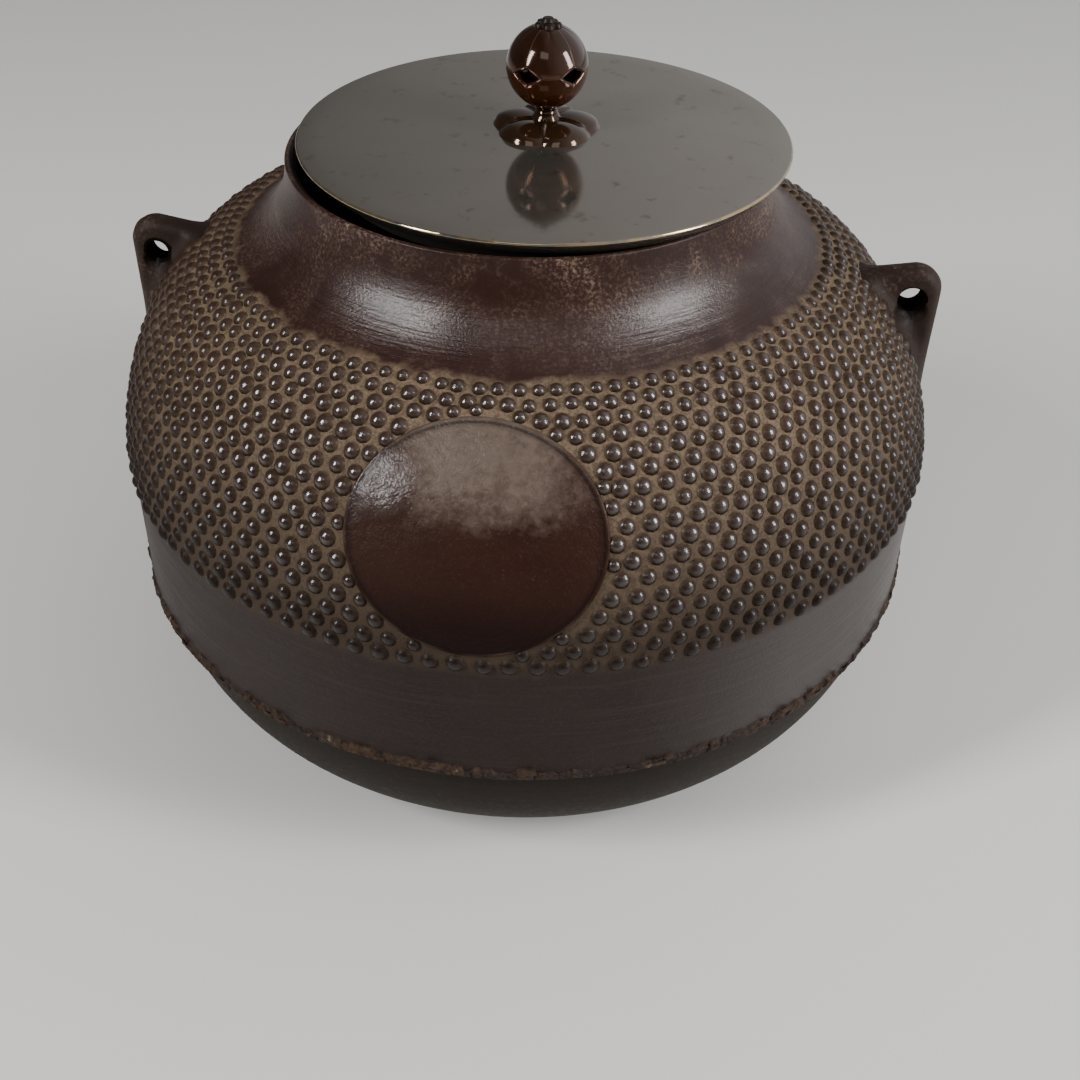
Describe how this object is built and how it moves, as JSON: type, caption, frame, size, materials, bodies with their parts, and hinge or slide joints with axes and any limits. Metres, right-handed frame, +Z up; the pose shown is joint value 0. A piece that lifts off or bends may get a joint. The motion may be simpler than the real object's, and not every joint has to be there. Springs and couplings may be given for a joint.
{
  "type": "tea ceremony water kettle",
  "caption": "Round cast iron tea ceremony water kettle with a studded shoulder, two lifting lugs and a loose flat bronze lid with a pierced ball knob.",
  "frame": {"origin": "centre of the flat base that the kettle stands on", "axes": "+Z up along the kettle's axis, lugs along X, round panel facing -Y"},
  "size_m": [0.2516, 0.2516, 0.2158],
  "materials": {
    "cast_iron_skin": "reddish dark brown patina with dusty ground between the studs",
    "bottom_iron": "dull dark grey-brown iron",
    "lacquer_putty": "black lacquer mixed with iron dust",
    "lid_bronze": "patinated grey-brown bronze, polished",
    "knob_bronze": "glossy dark red-brown patinated bronze"
  },
  "bodies": {
    "kettle": {"kettle_body": "cast_iron_skin", "kettle_bottom": "bottom_iron", "seam_putty": "lacquer_putty", "left_lug": "cast_iron_skin", "right_lug": "cast_iron_skin", "lacquer_dabs": "lacquer_putty", "sounding_plate_1": "bottom_iron", "sounding_plate_2": "bottom_iron", "sounding_plate_3": "bottom_iron", "sounding_plate_4": "bottom_iron", "sounding_plate_5": "bottom_iron"},
    "lid": {"lid_plate": "lid_bronze", "knob_seat": "knob_bronze", "knob_collar": "knob_bronze", "knob_ball_lower": "knob_bronze", "knob_ball_upper": "knob_bronze", "knob_finial": "knob_bronze", "knob_pin": "knob_bronze", "pin_washer": "lid_bronze"}
  },
  "joints": [
    {"name": "lid_lift", "type": "slide", "parent": "kettle", "child": "lid", "axis": [0, 0, 1], "range_m": [0, 0.12]}
  ]
}
